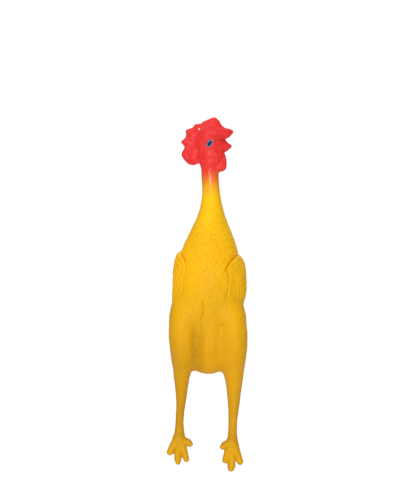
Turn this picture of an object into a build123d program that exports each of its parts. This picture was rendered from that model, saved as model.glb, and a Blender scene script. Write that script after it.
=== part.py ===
from build123d import *
import os
from math import radians, tan

# Rubber chicken: a hollow latex squeeze toy, 300 mm long, with a push-in squeaker.
#
# The frame is the toy hanging by its comb: +Z up, the breast faces -Y and the beak points to +X.
# The origin is the centre of the tag hole through the comb, so the hole is what holds the toy up.
# Left and right are the bird's own: its left leg and wing are at +X, and the head's left is at +Y.
# The latex skin is one moulding. It is cut here where it flexes: each cut is a V notch about the
# line that the skin bends on, so the parts on its two sides can swing and never meet.
# All sizes are in millimetres.

# --- Driving dimensions -------------------------------------------------------------------------
SKIN = 2.0                 # wall of the hollow latex
SIZE_Z = 300.0             # the toy's length
BODY_X = 7.7               # the trunk's middle line, to the side of the tag hole
TAG_HOLE_R = 0.75
COMB_HALF_THICK = 2.2
HALF_GAP = 0.3             # half of the slit at the root of each V notch

NECK_TWIST_Z = -40.0
NECK_SIDE_Z = -53.5
NECK_FORE_Z = -69.0
NECK_BEND = 55             # degrees each way, of both neck bends
NECK_X = 9.9               # the neck's middle line at its bends

BELLY_Z = -150.0
BELLY_RADII = (19.0, 44.0)  # half width and half height of the wall that is squeezed
BELLY_SLIT = 0.4

SQUEAKER_Z = -172.0
SQUEAKER_PAD_R = 12.5
SQUEAKER_FACE_Y = 22.6
FLANGE_R, FLANGE_THICK = 10.4, 1.2
BARREL_R, BARREL_LENGTH = 8.0, 9.0
CUP_WALL = 1.2
SOUND_HOLE_R = 1.5
REED_TUBE_R, REED_BLOCK_LENGTH = 4.0, 8.0
CHANNEL_HALF_WIDTH, CHANNEL_HALF_HEIGHT = 2.1, 1.1
INLET_HALF_WIDTH = 1.2
REED_ROOT_GAP = 0.05       # between the reed's root and the blocks that it flexes from
REED_LENGTH, REED_WIDTH, REED_THICK = 6.4, 3.4, 0.2

EYE_X, EYE_Z = 9.2, -12.6
EYE_RADII, PUPIL_RADII = (2.2, 3.9), (1.3, 2.7)
EYE_TILT = -28             # degrees, the eye's long axis leans towards the beak
EYE_FACE_Y, PUPIL_THICK = 10.1, 0.3

# Trunk stations from the head to the tail: height, middle in X, half width, half depth, middle in Y.
TRUNK = [
    (NECK_TWIST_Z - HALF_GAP, 9.5, 7.2, 7.1, 0.0),
    (-50.0, 10.0, 7.2, 7.1, 0.0),
    (-60.0, 10.6, 8.1, 7.8, 0.0),
    (-70.0, 10.6, 10.3, 9.9, 0.0),
    (-79.0, 10.3, 13.6, 12.8, -0.2),
    (-91.0, 9.9, 18.9, 17.3, -0.8),
    (-103.0, 9.2, 23.5, 20.9, -1.3),
    (-118.0, 8.5, 26.8, 23.4, -1.8),
    (-140.0, 7.9, 28.9, 23.6, -1.3),
    (-165.0, 7.5, 28.4, 21.6, 0.4),
    (-185.0, BODY_X, 25.6, 19.2, 1.6),
    (-198.0, BODY_X, 21.0, 15.0, 1.0),
    (-205.5, BODY_X, 15.0, 10.0, 0.6),
    (-209.0, BODY_X, 8.0, 5.0, 0.4),
]
# The head's stations, from the crown down to the neck.
HEAD = [
    (-2.5, 9.0, 5.0, 4.5, 0.0),
    (-6.0, 9.0, 9.5, 7.8, 0.0),
    (-14.0, 9.4, 12.0, 9.6, 0.0),
    (-23.0, 9.9, 11.4, 9.2, 0.0),
    (-32.0, 9.8, 8.6, 7.8, 0.0),
    (NECK_TWIST_Z + HALF_GAP, 9.6, 7.2, 7.0, 0.0),
]
# Leg stations, thigh to ankle. The two legs of the moulding differ: the right is the shorter.
RIGHT_LEG = [
    (-148.0, -12.0, 6.0, 8.0, -5.5),
    (-157.0, -13.4, 10.8, 13.4, -6.2),
    (-172.0, -13.9, 11.7, 16.0, -6.0),
    (-186.5, -14.0, 10.8, 14.8, -4.8),
    (-199.5, -13.9, 9.0, 11.3, -2.5),
    (-210.5, -14.4, 7.0, 7.9, -0.8),
    (-219.0, -14.9, 5.4, 5.8, 0.0),
    (-227.5, -15.1, 4.5, 4.7, 0.0),
    (-238.0, -15.8, 3.5, 3.8, 0.0),
    (-251.0, -16.6, 3.2, 3.4, 0.0),
    (-265.0, -16.7, 3.7, 3.3, 0.0),
]
LEFT_LEG = [
    (-148.0, 26.6, 6.0, 8.0, -5.5),
    (-157.0, 28.4, 10.8, 13.4, -6.2),
    (-172.0, 29.1, 11.5, 16.0, -6.0),
    (-186.5, 29.3, 11.4, 15.2, -4.8),
    (-199.5, 29.3, 10.0, 11.9, -2.5),
    (-210.5, 29.5, 8.2, 8.6, -0.8),
    (-219.0, 29.8, 6.6, 6.7, 0.0),
    (-227.5, 29.7, 5.5, 5.5, 0.0),
    (-238.0, 29.5, 4.5, 4.5, 0.0),
    (-251.0, 28.8, 3.5, 3.5, 0.0),
    (-269.5, 28.6, 3.7, 3.3, 0.0),
]
THIGH_STATIONS = 6         # of those stations, how many are the thigh's
# Flex lines of a leg: height of the fore-and-aft swing, the sideways splay and the foot's flex.
RIGHT_FLEX = {"x": -15.7, "swing": -221.0, "splay": -235.0, "foot": -249.0}
LEFT_FLEX = {"x": 29.2, "swing": -222.0, "splay": -238.0, "foot": -253.5}
LEG_BEND = 60              # degrees each way, of swing and foot flex
LEG_SPLAY = 50             # degrees outwards
NOTCH_REACH = 11.0         # how far a leg's notch reaches from its middle line

# A foot: its sole's centre, and each toe's tip and tip radius, the hind toe last.
RIGHT_FOOT = {
    "sole": (-16.7, -264.5),
    "toes": [(-24.2, -275.3, 2.4), (-18.3, -283.2, 2.4), (-10.9, -281.0, 2.4), (-7.5, -268.3, 2.2)],
}
LEFT_FOOT = {
    "sole": (28.6, -269.0),
    "toes": [(22.2, -282.4, 2.4), (27.7, -288.5, 2.8), (35.2, -283.5, 2.4), (20.1, -270.6, 2.3)],
}
SOLE_R, TOE_ROOT_R = 4.4, 3.5

# Wing stations, shoulder to tip, folded against the trunk.
RIGHT_WING = [
    (-107.5, -12.0, 4.0, 4.5, 0.0),
    (-112.0, -12.3, 8.2, 9.5, 0.5),
    (-120.0, -12.2, 10.0, 12.5, 0.8),
    (-132.0, -12.0, 10.4, 13.5, 1.0),
    (-143.0, -12.5, 9.2, 11.0, 1.0),
    (-149.5, -13.2, 5.0, 6.5, 1.0),
]
LEFT_WING = [
    (-107.5, 31.0, 4.0, 4.5, -2.0),
    (-112.0, 29.5, 8.2, 10.0, -1.5),
    (-121.0, 29.0, 10.6, 13.5, -1.2),
    (-133.0, 29.0, 10.6, 14.5, -1.0),
    (-143.0, 29.0, 9.6, 12.0, -1.0),
    (-149.5, 29.4, 5.5, 6.5, -1.0),
]
TAIL_ROOT, TAIL_TIP = (BODY_X, 5.0, -190.0), (BODY_X, 16.5, -203.0)
TAIL_ROOT_R, TAIL_TIP_R = 6.5, 3.0

# The comb's outline in the plane of the head: the front lobe, three points, and the rear lobe.
COMB = [
    (19.2, -0.9), (16.4, 5.0), (12.6, 9.6), (7.7, 8.1), (3.8, 5.4),
    (1.9, 3.6), (-3.2, 4.0), (-6.6, -0.3), (-10.8, -1.2), (-11.4, -6.4),
    (-15.3, -11.2), (-12.3, -16.2), (-15.0, -21.3), (-12.4, -25.6), (-8.9, -29.6),
    (-5.5, -30.6), (-1.0, -28.4), (4.0, -20.0), (8.0, -4.0),
]
COMB_ROUND = 0.9
# Beak stations, root to tip: distance along X, half width, half height, height of the middle.
UPPER_BEAK = [(12.0, 5.4, 4.9, -5.2), (19.0, 4.8, 4.9, -4.3), (24.5, 3.4, 3.7, -3.4), (28.9, 1.5, 1.5, -2.6)]
LOWER_BEAK = [(12.0, 4.8, 4.6, -15.0), (19.0, 4.2, 4.4, -15.1), (24.0, 2.8, 2.8, -14.9), (27.6, 1.2, 1.0, -14.6)]
BEAK_TIP_ROUND = 0.6
WATTLE = [
    (-21.5, 18.6, 2.4, 1.2, 3.0),
    (-25.0, 19.4, 3.6, 2.0, 3.0),
    (-30.0, 19.3, 4.3, 2.5, 3.1),
    (-34.0, 18.8, 3.6, 2.2, 3.1),
    (-36.3, 18.4, 1.8, 1.1, 3.0),
]


# --- Shape helpers ------------------------------------------------------------------------------
def lofted(stations, inset=0.0):
    """A solid through level ellipses, each inset from its station by a wall's thickness."""
    with BuildPart() as body:
        for z, x, half_width, half_depth, y in stations:
            with BuildSketch(Plane((x, y, z), x_dir=(1, 0, 0), z_dir=(0, 0, 1))):
                Ellipse(half_width - inset, half_depth - inset)
        loft()
    return body.part


def tapered(start, end, start_r, end_r):
    """A round finger from one point to another, with ball ends."""
    start, end = Vector(*start), Vector(*end)
    with BuildPart() as finger:
        for point, radius in ((start, start_r), (end, end_r)):
            with BuildSketch(Plane(point, z_dir=end - start)):
                Circle(radius)
        loft()
        with Locations(start):
            Sphere(start_r)
        with Locations(end):
            Sphere(end_r)
    return finger.part


def notch(x, z, bend, across, reach):
    """The bow-tie of space that a flex line needs, for a bend of that many degrees each way.

    across names the flex line's own direction, and reach is how far the notch goes each side of it.
    """
    rise = reach * tan(radians(bend / 2)) + HALF_GAP
    origin, x_dir = ((x, 0, z), (1, 0, 0)) if across == "Y" else ((x, 0, z), (0, 1, 0))
    profile = Plane(origin, x_dir=x_dir, z_dir=(0, -1, 0) if across == "Y" else (1, 0, 0))
    with BuildPart() as space:
        with BuildSketch(profile):
            with BuildLine():
                Polyline(
                    (-reach, rise), (0, HALF_GAP), (reach, rise),
                    (reach, -rise), (0, -HALF_GAP), (-reach, -rise),
                    close=True,
                )
            make_face()
        extrude(amount=reach, both=True)
    return space.part


def save(part, name):
    """Writes one named sub-part."""
    part.label = name
    export_step(part, f"parts/{name}.step")
    print(f"{name}: {len(part.solids())} solid(s), {part.volume:.0f} mm3")


os.makedirs("parts", exist_ok=True)

# --- Trunk: neck, torso and the wall that is squeezed ---------------------------------------------
trunk_outside = lofted(TRUNK)
cavity_stations = [(z, x, a, b, y) for z, x, a, b, y in TRUNK[:-2]]
trunk_cavity = lofted(cavity_stations, inset=SKIN)

with BuildPart() as bore_block:
    with BuildSketch(Plane.XY.offset(NECK_TWIST_Z)):
        with Locations((TRUNK[0][1], 0)):
            Circle(TRUNK[0][3] - SKIN)
    extrude(amount=-2 * SKIN)
neck_bore = bore_block.part

squeaker_plane = Plane((BODY_X, SQUEAKER_FACE_Y, SQUEAKER_Z), x_dir=(1, 0, 0), z_dir=(0, 1, 0))
belly_plane = Plane((BODY_X, 0, BELLY_Z), x_dir=(1, 0, 0), z_dir=(0, -1, 0))
belly_depth = 40.0

with BuildPart() as belly_block:
    with BuildSketch(belly_plane):
        Ellipse(BELLY_RADII[0] + BELLY_SLIT, BELLY_RADII[1] + BELLY_SLIT)
    extrude(amount=belly_depth)
belly_space = belly_block.part

with BuildPart() as trunk:
    add(trunk_outside)
    add(trunk_cavity, mode=Mode.SUBTRACT)
    add(neck_bore, mode=Mode.SUBTRACT)
    add(notch(NECK_X, NECK_SIDE_Z, NECK_BEND, "Y", 12.0), mode=Mode.SUBTRACT)
    add(notch(NECK_X, NECK_FORE_Z, NECK_BEND, "X", 16.0), mode=Mode.SUBTRACT)

torso_hollow, neck_lower_ring, neck_upper_ring = trunk.solids().sort_by(Axis.Z)

with BuildPart() as neck_upper:
    add(neck_upper_ring)
save(neck_upper.part, "neck_upper")

with BuildPart() as neck_lower:
    add(neck_lower_ring)
save(neck_lower.part, "neck_lower")

# The pad is a flat disc moulded on the back, with the hole that the squeaker presses into.
with BuildPart() as torso:
    add(torso_hollow)
    with BuildSketch(squeaker_plane):
        Circle(SQUEAKER_PAD_R)
    extrude(amount=-4 * SKIN)
    with BuildSketch(squeaker_plane):
        Circle(BARREL_R)
    extrude(amount=-5 * SKIN, mode=Mode.SUBTRACT)
    with BuildSketch(squeaker_plane):
        Circle(FLANGE_R)
    extrude(amount=-FLANGE_THICK, mode=Mode.SUBTRACT)
    add(belly_space, mode=Mode.SUBTRACT)
save(torso.part, "torso_shell")

with BuildPart() as belly_wall:
    add(torso_hollow)
    with BuildSketch(belly_plane):
        Ellipse(*BELLY_RADII)
    extrude(amount=belly_depth, mode=Mode.INTERSECT)
save(belly_wall.part, "belly_wall")

# --- Wings: hollow bulges on the trunk ------------------------------------------------------------
for name, stations in (("wing_left", LEFT_WING), ("wing_right", RIGHT_WING)):
    with BuildPart() as wing:
        add(lofted(stations))
        add(lofted(stations[1:-1], inset=SKIN), mode=Mode.SUBTRACT)
        add(trunk_outside, mode=Mode.SUBTRACT)
        add(belly_space, mode=Mode.SUBTRACT)
    save(wing.part, name)

with BuildPart() as tail:
    add(tapered(TAIL_ROOT, TAIL_TIP, TAIL_ROOT_R, TAIL_TIP_R))
    add(trunk_outside, mode=Mode.SUBTRACT)
save(tail.part, "tail")

# --- Legs: each is one moulded limb, cut at its three flex lines ----------------------------------
for side, stations, flex, foot in (
    ("left", LEFT_LEG, LEFT_FLEX, LEFT_FOOT),
    ("right", RIGHT_LEG, RIGHT_FLEX, RIGHT_FOOT),
):
    sole_x, sole_z = foot["sole"]
    with BuildPart() as limb:
        add(lofted(stations))
        add(lofted(stations[1:THIGH_STATIONS - 1], inset=SKIN), mode=Mode.SUBTRACT)
        with Locations((sole_x, 0, sole_z)):
            Sphere(SOLE_R)
        for tip_x, tip_z, tip_r in foot["toes"]:
            add(tapered((sole_x, 0, sole_z), (tip_x, 0, tip_z), TOE_ROOT_R, tip_r))
        add(trunk_outside, mode=Mode.SUBTRACT)
        add(belly_space, mode=Mode.SUBTRACT)
        add(notch(flex["x"], flex["swing"], LEG_BEND, "X", NOTCH_REACH), mode=Mode.SUBTRACT)
        add(notch(flex["x"], flex["splay"], LEG_SPLAY, "Y", NOTCH_REACH), mode=Mode.SUBTRACT)
        add(notch(flex["x"], flex["foot"], LEG_BEND, "X", NOTCH_REACH), mode=Mode.SUBTRACT)
    cuts = [0, flex["swing"], flex["splay"], flex["foot"], -SIZE_Z]
    for name, top, bottom in zip(("thigh", "shank_upper", "shank_lower", "foot"), cuts, cuts[1:]):
        pieces = [piece for piece in limb.solids() if bottom < piece.center().Z < top]
        with BuildPart() as segment:
            add(max(pieces, key=lambda piece: piece.volume))
        save(segment.part, f"{name}_{side}")

# --- Head: face, comb, beak, wattles and painted eyes ---------------------------------------------
head_outside = lofted(HEAD)

with BuildPart() as head_shell:
    add(head_outside)
    add(lofted(HEAD[1:], inset=SKIN), mode=Mode.SUBTRACT)
save(head_shell.part, "head_shell")

with BuildPart() as comb:
    with BuildSketch(Plane.XZ):
        with BuildLine():
            Polyline(*COMB, close=True)
        make_face()
        fillet(vertices(), COMB_ROUND)
        Circle(TAG_HOLE_R, mode=Mode.SUBTRACT)
    extrude(amount=COMB_HALF_THICK, both=True)
    add(head_outside, mode=Mode.SUBTRACT)
save(comb.part, "comb")

for name, stations in (("beak_upper", UPPER_BEAK), ("beak_lower", LOWER_BEAK)):
    with BuildPart() as beak:
        for x, half_width, half_height, z in stations:
            with BuildSketch(Plane((x, 0, z), x_dir=(0, 1, 0), z_dir=(1, 0, 0))):
                Ellipse(half_width, half_height)
        loft()
        fillet(beak.edges().group_by(Axis.X)[-1], BEAK_TIP_ROUND)
        add(head_outside, mode=Mode.SUBTRACT)
        add(comb.part, mode=Mode.SUBTRACT)
    save(beak.part, name)

for name, turn in (("left", 1), ("right", -1)):
    with BuildPart() as wattle:
        add(lofted([(z, x, a, b, turn * y) for z, x, a, b, y in WATTLE]))
        add(head_outside, mode=Mode.SUBTRACT)
    save(wattle.part, f"wattle_{name}")

    eye_plane = Plane((EYE_X, turn * EYE_FACE_Y, EYE_Z), x_dir=(1, 0, 0), z_dir=(0, turn, 0))
    # The plane's own Y points down on the left side, so the lean turns with the side.
    with BuildPart() as eye:
        with BuildSketch(eye_plane):
            Ellipse(*EYE_RADII, rotation=-turn * EYE_TILT)
        extrude(amount=-EYE_FACE_Y / 2)
        add(head_outside, mode=Mode.SUBTRACT)
    save(eye.part, f"eye_{name}")

    with BuildPart() as pupil:
        with BuildSketch(eye_plane):
            Ellipse(*PUPIL_RADII, rotation=-turn * EYE_TILT)
        extrude(amount=PUPIL_THICK)
    save(pupil.part, f"pupil_{name}")

# --- Squeaker: a flanged cup with a reed clamped between two half-round blocks ---------------------
channel_length = REED_LENGTH + 0.4

with BuildPart() as cup:
    with BuildSketch(squeaker_plane):
        Circle(FLANGE_R)
    extrude(amount=-FLANGE_THICK)
    barrel_plane = squeaker_plane.offset(-FLANGE_THICK)
    with BuildSketch(barrel_plane):
        Circle(BARREL_R)
        Circle(BARREL_R - CUP_WALL, mode=Mode.SUBTRACT)
    extrude(amount=-BARREL_LENGTH)
    with BuildSketch(barrel_plane):
        Circle(REED_TUBE_R + CUP_WALL)
        Circle(REED_TUBE_R, mode=Mode.SUBTRACT)
    extrude(amount=-REED_BLOCK_LENGTH)
    with BuildSketch(squeaker_plane):
        Circle(SOUND_HOLE_R)
    extrude(amount=-FLANGE_THICK, mode=Mode.SUBTRACT)
    fillet(cup.edges().filter_by(GeomType.CIRCLE).group_by(Axis.Y)[-1].sort_by(SortBy.RADIUS)[-1], 0.4)
save(cup.part, "squeaker_cup")

# In the squeaker's plane local X is the frame's X and local Y points down.
for name, turn in (("upper", -1), ("lower", 1)):
    with BuildPart() as block:
        with BuildSketch(barrel_plane):
            Circle(REED_TUBE_R)
            with Locations((0, -turn * REED_TUBE_R)):
                Rectangle(2 * REED_TUBE_R, 2 * REED_TUBE_R, mode=Mode.SUBTRACT)
        extrude(amount=-REED_BLOCK_LENGTH)
        with BuildSketch(barrel_plane):
            Rectangle(2 * CHANNEL_HALF_WIDTH, 2 * CHANNEL_HALF_HEIGHT)
        extrude(amount=-channel_length, mode=Mode.SUBTRACT)
        if name == "lower":
            with BuildSketch(barrel_plane):
                with Locations((0, CHANNEL_HALF_HEIGHT / 2 + REED_THICK)):
                    Rectangle(2 * INLET_HALF_WIDTH, CHANNEL_HALF_HEIGHT - 2 * REED_THICK)
            extrude(amount=-REED_BLOCK_LENGTH, mode=Mode.SUBTRACT)
    save(block.part, f"reed_block_{name}")

with BuildPart() as reed:
    with BuildSketch(barrel_plane.offset(-channel_length + REED_ROOT_GAP)):
        Rectangle(REED_WIDTH, REED_THICK)
    extrude(amount=REED_LENGTH)
save(reed.part, "squeaker_reed")
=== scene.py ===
import math

import bmesh
import bpy
import numpy as np
import openvdb
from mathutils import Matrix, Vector


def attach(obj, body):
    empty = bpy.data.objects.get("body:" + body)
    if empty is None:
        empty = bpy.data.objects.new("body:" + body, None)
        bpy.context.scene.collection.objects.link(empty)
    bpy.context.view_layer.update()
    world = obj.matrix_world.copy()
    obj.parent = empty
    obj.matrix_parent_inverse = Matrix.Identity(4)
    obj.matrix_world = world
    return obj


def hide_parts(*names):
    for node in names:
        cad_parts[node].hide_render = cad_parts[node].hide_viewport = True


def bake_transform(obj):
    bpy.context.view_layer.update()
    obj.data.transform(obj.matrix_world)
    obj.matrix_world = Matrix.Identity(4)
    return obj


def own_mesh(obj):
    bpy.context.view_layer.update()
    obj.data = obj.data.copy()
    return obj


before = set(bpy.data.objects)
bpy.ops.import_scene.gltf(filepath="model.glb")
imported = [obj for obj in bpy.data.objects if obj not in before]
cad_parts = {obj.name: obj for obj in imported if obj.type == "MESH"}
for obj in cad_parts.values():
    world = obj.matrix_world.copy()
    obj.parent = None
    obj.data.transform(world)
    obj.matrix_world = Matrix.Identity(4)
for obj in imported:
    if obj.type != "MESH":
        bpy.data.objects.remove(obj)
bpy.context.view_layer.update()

MM = 0.001
BODY_X = 7.7               # the trunk's middle line; lengths are in mm up to the materials
FINE = 0.03                # step for measuring the finished skin's slope

# --------------------------------------------------------------------------------------------------
# The latex skin is one implicit surface: distances in mm, negative inside.
# --------------------------------------------------------------------------------------------------


def smin(a, b, k):
    """Union of two distances with a fillet of about k."""
    h = np.clip(0.5 + 0.5 * (b - a) / k, 0, 1)
    return b + (a - b) * h - k * h * (1 - h)


def smax(a, b, k):
    """Intersection of two distances with a fillet of about k."""
    return -smin(-a, -b, k)


def step(low, high, v):
    """0 at low to 1 at high with soft ends; low may be the larger."""
    t = np.clip((v - low) / (high - low), 0, 1)
    return t * t * (3 - 2 * t)


def bell(v, width):
    """1 at v = 0, falling to 1/e at the width."""
    return np.exp(-(v / width) ** 2)


def rounded(u, v, r):
    """Where u and v are both negative, with the edge between their faces rounded to r."""
    u, v = u + r, v + r
    return np.minimum(np.maximum(u, v), 0) + np.hypot(np.maximum(u, 0), np.maximum(v, 0)) - r


def ellipsoid(p, centre, radii, lean=0.0):
    """lean turns it about Y, in degrees, its top towards +X."""
    q = p - np.array(centre, np.float32)
    c, s = math.cos(math.radians(lean)), math.sin(math.radians(lean))
    x = q[:, 0] * c - q[:, 2] * s
    z = q[:, 0] * s + q[:, 2] * c
    a, b, d = radii
    k0 = np.sqrt((x / a) ** 2 + (q[:, 1] / b) ** 2 + (z / d) ** 2) + 1e-6
    k1 = np.sqrt((x / a**2) ** 2 + (q[:, 1] / b**2) ** 2 + (z / d**2) ** 2) + 1e-6
    return k0 * (k0 - 1) / k1


def cone(p, a, b, ra, rb):
    """The hull of two balls."""
    a, b = np.array(a, np.float32), np.array(b, np.float32)
    ab = b - a
    length = float(np.linalg.norm(ab))
    along = (p - a) @ ab / length
    away = np.sqrt(np.maximum(((p - a) ** 2).sum(1) - along**2, 0))
    lean = (ra - rb) / length
    slant = math.sqrt(1 - lean * lean)
    middle = away * slant + along * lean - ra
    shifted = along * slant - away * lean
    d = np.where(shifted < 0, np.hypot(away, along) - ra, middle)
    return np.where(shifted > length * slant, np.hypot(away, along - length) - rb, d)


def table(rows):
    """Level ellipses (z, x, half width, half depth, y), as a fine smooth table by height."""
    rows = np.array(rows, float)[::-1]
    z = np.arange(rows[0, 0], rows[-1, 0] + 0.25, 0.25)
    kernel = bell(np.arange(-12, 13) * 0.25, 2.2)
    kernel /= kernel.sum()
    columns = []
    for column in rows[:, 1:].T:
        v = np.interp(z, rows[:, 0], column)
        v = np.pad(v, 12, mode="reflect", reflect_type="odd")
        columns.append(np.convolve(v, kernel, "valid"))
    return z, columns


def tube(p, tab):
    """Distance to the level ellipses of a table."""
    z, (cx, a, b, cy) = tab
    cx, a, b, cy = (np.interp(p[:, 2], z, c) for c in (cx, a, b, cy))
    x, y = p[:, 0] - cx, p[:, 1] - cy
    k0 = np.sqrt((x / a) ** 2 + (y / b) ** 2) + 1e-6
    k1 = np.sqrt((x / a**2) ** 2 + (y / b**2) ** 2) + 1e-6
    return k0 * (k0 - 1) / k1


TRUNK = table([
    (-28.0, 9.2, 7.8, 7.4, 0.0), (-34.0, 9.3, 7.4, 7.1, 0.0), (-40.0, 9.4, 7.2, 7.0, 0.0),
    (-48.0, 9.9, 7.1, 7.0, 0.0), (-57.0, 10.5, 7.6, 7.4, 0.0), (-64.0, 10.6, 8.8, 8.5, 0.0),
    (-70.7, 10.6, 10.5, 10.2, 0.0), (-77.5, 10.4, 12.9, 12.4, -0.2), (-84.3, 10.0, 16.0, 15.0, -0.5),
    (-91.2, 9.9, 18.9, 17.4, -0.8), (-98.0, 9.5, 21.7, 19.6, -1.1), (-104.8, 9.0, 24.1, 21.4, -1.4),
    (-112.0, 8.7, 25.8, 22.8, -1.7), (-120.0, 8.5, 26.9, 23.6, -1.9), (-130.0, 8.3, 28.0, 23.9, -1.7),
    (-142.0, 7.8, 29.0, 23.5, -1.2), (-150.0, 7.1, 29.2, 23.0, -0.7), (-158.0, 7.2, 28.9, 22.3, -0.1),
    (-172.0, BODY_X, 27.6, 20.7, 1.0), (-184.0, BODY_X, 26.0, 19.0, 1.9),
])
RIGHT_LEG = table([
    (-140.0, -8.0, 5.0, 8.0, -5.0), (-148.0, -10.6, 9.9, 12.0, -5.6), (-157.0, -12.9, 11.5, 15.0, -5.8),
    (-165.0, -13.6, 12.0, 16.4, -6.1), (-173.0, -13.9, 11.9, 16.6, -6.2), (-186.5, -14.0, 10.9, 15.2, -5.0),
    (-199.5, -13.9, 9.0, 11.6, -2.6), (-205.0, -14.1, 7.8, 9.4, -1.5), (-210.5, -14.4, 7.0, 7.9, -0.8),
    (-217.0, -14.8, 5.7, 6.1, -0.2), (-224.0, -15.0, 4.8, 5.1, 0.0), (-231.0, -15.2, 4.1, 4.4, 0.0),
    (-238.0, -15.8, 3.4, 3.8, 0.0), (-244.5, -16.3, 3.3, 3.5, 0.0), (-251.0, -16.7, 3.2, 3.4, 0.0),
    (-257.0, -16.7, 3.9, 3.4, 0.0), (-264.0, -16.8, 5.0, 3.2, 0.0),
])
LEFT_LEG = table([
    (-140.0, 23.0, 5.0, 8.0, -5.0), (-148.0, 25.6, 9.8, 12.0, -5.6), (-157.0, 28.0, 11.0, 15.0, -5.8),
    (-165.0, 28.6, 11.7, 16.4, -6.1), (-173.0, 29.1, 11.8, 16.6, -6.2), (-186.5, 29.3, 11.6, 15.6, -5.0),
    (-199.5, 29.3, 10.0, 12.1, -2.6), (-205.0, 29.4, 8.9, 9.9, -1.5), (-210.5, 29.5, 8.2, 8.6, -0.8),
    (-217.0, 29.8, 6.8, 7.0, -0.2), (-224.0, 29.7, 5.9, 5.9, 0.0), (-231.0, 29.7, 5.1, 5.1, 0.0),
    (-238.0, 29.5, 4.5, 4.5, 0.0), (-244.5, 29.1, 3.8, 3.8, 0.0), (-251.0, 28.7, 3.5, 3.5, 0.0),
    (-259.0, 28.5, 3.6, 3.4, 0.0), (-268.0, 28.4, 4.8, 3.2, 0.0),
])
# Each foot's toes in the plane of the head: root, tip and the radius at each, the hind toe last.
RIGHT_FOOT = [
    ((-18.4, -264.0), (-24.9, -275.4), 3.8, 2.6),
    ((-17.4, -267.0), (-18.0, -280.4), 4.2, 2.8),
    ((-18.0, -280.4), (-18.0, -283.9), 2.8, 2.1),
    ((-15.6, -267.0), (-10.7, -281.5), 4.0, 2.3),
    ((-15.0, -265.4), (-9.8, -266.9), 3.4, 3.0),
    ((-9.8, -266.9), (-7.6, -268.5), 3.0, 2.3),
]
LEFT_FOOT = [
    ((26.8, -269.5), (22.6, -282.2), 3.8, 2.7),
    ((28.0, -271.0), (27.6, -286.6), 4.2, 3.1),
    ((27.6, -286.6), (27.3, -289.2), 3.1, 2.7),
    ((29.4, -269.5), (35.0, -283.6), 4.0, 2.6),
    ((26.8, -267.2), (22.6, -269.4), 3.2, 3.2),
    ((22.6, -269.4), (20.2, -270.9), 3.2, 2.3),
]
# The web between two toes: from the palm to its edge, and its thickness there.
WEBS = [
    ((-18.6, -266.0), (-22.2, -274.9), 1.7), ((-16.4, -268.0), (-14.7, -277.9), 1.7),
    ((-14.0, -266.5), (-12.0, -269.4), 1.7), ((27.2, -270.0), (24.4, -283.0), 1.8),
    ((29.2, -270.0), (31.3, -280.0), 1.8), ((26.0, -269.4), (22.8, -271.6), 1.6),
]
# The comb's outline in the plane of the head, clockwise from its front.
COMB = np.array([
    (21.0, -0.6), (18.6, 4.4), (16.6, 7.6), (13.0, 9.9), (9.0, 8.6), (5.2, 6.9), (3.6, 6.3), (1.6, 4.6),
    (-0.6, 4.3), (-3.4, 3.9), (-5.0, 1.6), (-7.2, 0.6), (-11.2, -1.4), (-10.9, -4.4), (-11.7, -7.4),
    (-15.2, -11.1), (-13.2, -13.8), (-12.2, -16.4), (-14.8, -21.8), (-12.2, -26.0), (-9.2, -29.2),
    (-5.9, -30.6), (-1.4, -29.4), (2.0, -24.0), (8.0, -16.0), (16.0, -8.0),
])
# Folds of the comb and the rear lobe, from the edge inwards.
COMB_FOLDS = [
    ((4.4, 6.6), (6.4, -1.0)), ((-4.6, 2.2), (0.6, -4.6)), ((-11.2, -5.6), (-2.6, -8.8)),
    ((-12.6, -15.8), (-3.4, -14.0)), ((-6.4, -30.4), (-3.6, -21.6)), ((17.4, 6.4), (12.6, 0.2)),
    ((9.6, 8.8), (10.0, 2.4)), ((-10.4, -28.0), (-7.2, -22.0)),
]
# Creases of the cheek, the wattles and the rear lobe, and the one under the jaw.
FACE_FOLDS = [
    ((13.8, -18.6), (19.0, -21.4)), ((10.8, -20.6), (15.2, -29.2)), ((17.2, -23.4), (17.9, -33.0)),
    ((20.6, -22.4), (21.0, -32.0)), ((-0.2, -18.8), (-0.8, -28.6)), ((3.4, -16.6), (3.0, -29.0)),
    ((-6.0, -17.6), (-5.6, -26.4)), ((-9.8, -19.2), (-9.0, -25.6)), ((-2.6, -24.6), (11.0, -25.4)),
]
# A folded wing lies on the flank like a thick leaf. Its outline is (degrees round from the breast,
# height); it stands out by its lip at the front edge and by its side thickness on the flank, by height.
LEFT_WING = {
    "out": 1,
    "outline": np.array([
        (100, -105.0), (86, -107.0), (61.5, -109.2), (52.8, -111.1), (42.6, -114.9), (33, -119.6),
        (37, -122.0), (40.5, -125.0), (38.5, -131.0), (35.5, -140.0), (33.5, -147.0), (38, -151.0),
        (60, -153.0), (85, -153.0), (110, -149.0), (138, -141.0), (146, -128.0), (138, -114.0),
        (120, -106.5)]),
    "lip": np.array([(-103, 0.0), (-107, 0.6), (-110, 1.4), (-119, 1.5), (-123, 0.6), (-128, 0.3),
                     (-142, 0.25), (-150, 0.0)]),
    "side": np.array([(-104, 0.0), (-106.9, 0.3), (-109, 1.9), (-111.6, 3.1), (-115, 4.1), (-121.8, 4.3),
                      (-128.7, 4.1), (-135.5, 4.0), (-142.3, 3.0), (-146.5, 1.9), (-150, 0.6), (-154, 0.0)]),
}
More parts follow.
